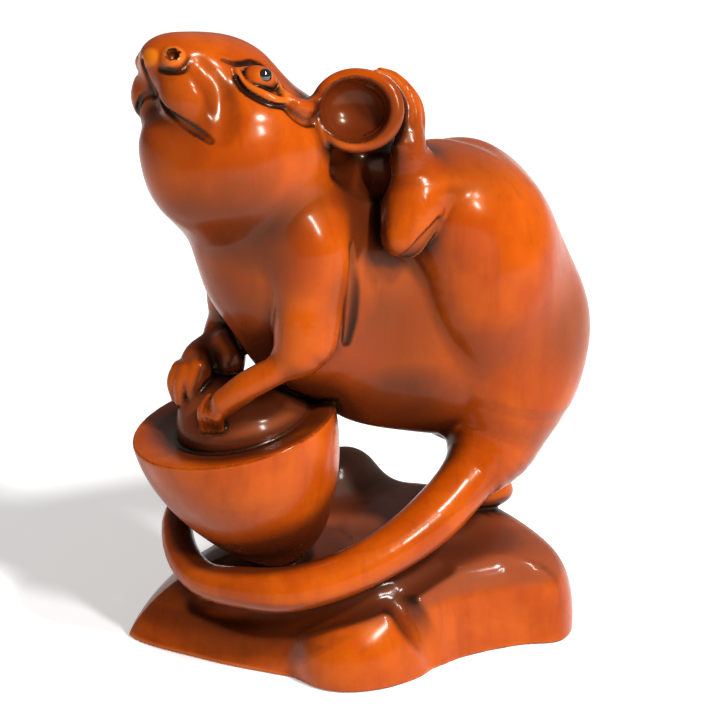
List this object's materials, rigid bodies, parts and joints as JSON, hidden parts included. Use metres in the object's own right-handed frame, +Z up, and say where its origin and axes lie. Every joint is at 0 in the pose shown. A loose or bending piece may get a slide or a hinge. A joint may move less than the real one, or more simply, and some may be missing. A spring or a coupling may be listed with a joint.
{
  "type": "netsuke",
  "caption": "Carved rat that scratches its ear with a hind foot, forepaws on a heaped bowl, on a rocky base; it stands on its flat underside.",
  "frame": {"origin": "a point in the flat underside, under the middle of the carving", "axes": "+Z up, the rat faces -Y, +X is the rat's left side"},
  "size_m": [0.0232, 0.0348, 0.0491],
  "materials": {
    "boxwood": "stained amber, waxed to a gloss, dark in the cuts",
    "horn": "polished black horn"
  },
  "bodies": {
    "root": {"carving": "boxwood", "pupil_left": "horn", "pupil_right": "horn"}
  },
  "joints": []
}
